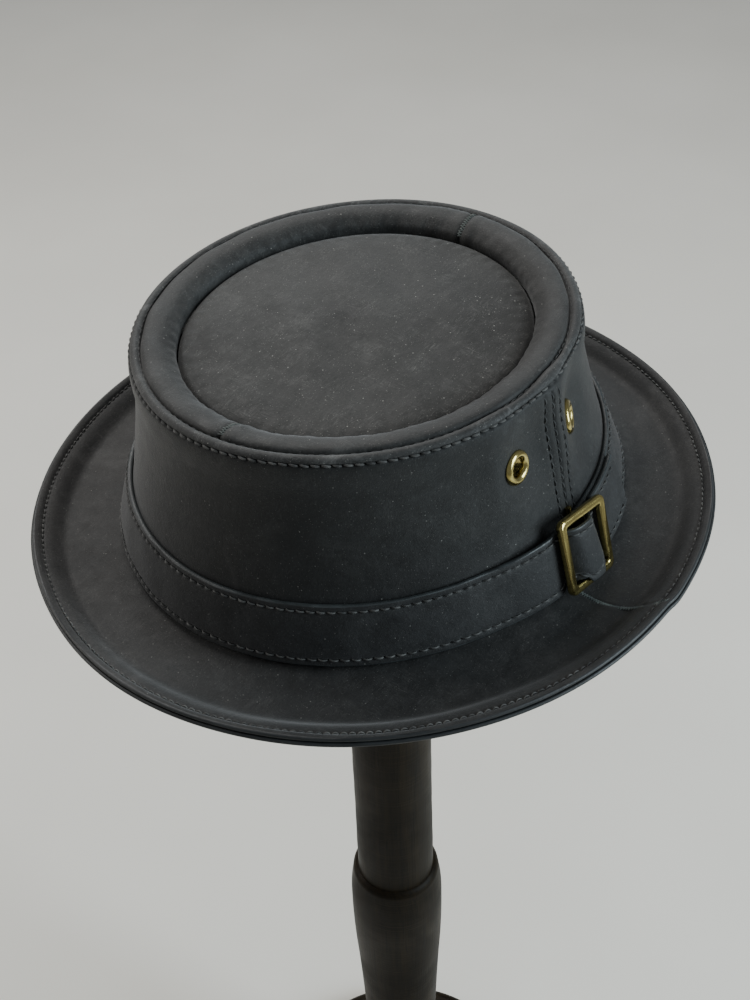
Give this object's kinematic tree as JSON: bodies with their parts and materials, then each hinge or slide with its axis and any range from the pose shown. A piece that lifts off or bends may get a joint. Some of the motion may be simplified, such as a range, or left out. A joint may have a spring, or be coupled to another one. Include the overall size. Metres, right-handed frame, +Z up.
{
  "type": "porkpie hat on a turned wooden stand",
  "caption": "Leather porkpie hat with a rolled flat crown, strap band with a side buckle and an upturned brim, resting on a plain turned wooden hat stand.",
  "frame": {"origin": "centre of the stand's flat foot, on the surface that it stands on", "axes": "+Z up along the stand's post; the hat's front looks along -X and its buckle is on the wearer's left, along -Y"},
  "size_m": [0.258, 0.2573, 0.6113],
  "materials": {
    "crown_leather": "matte waxed nubuck with fine pale scuffs",
    "brim_leather": "matte waxed nubuck, darker along the rim",
    "band_leather": "matte strap leather with smooth dark edges",
    "aged_brass": "antique brass, bright on worn edges",
    "stand_wood": "dark stained and lightly waxed"
  },
  "bodies": {
    "root": {"stand_base": "stand_wood", "stand_post": "stand_wood", "stand_cap": "stand_wood", "crown_tip": "crown_leather", "roll_left": "crown_leather", "roll_right": "crown_leather", "crown_side": "crown_leather", "brim_top": "brim_leather", "brim_under": "brim_leather", "hat_band": "band_leather", "buckle": "aged_brass", "eyelet_front": "aged_brass", "eyelet_back": "aged_brass"}
  },
  "joints": []
}
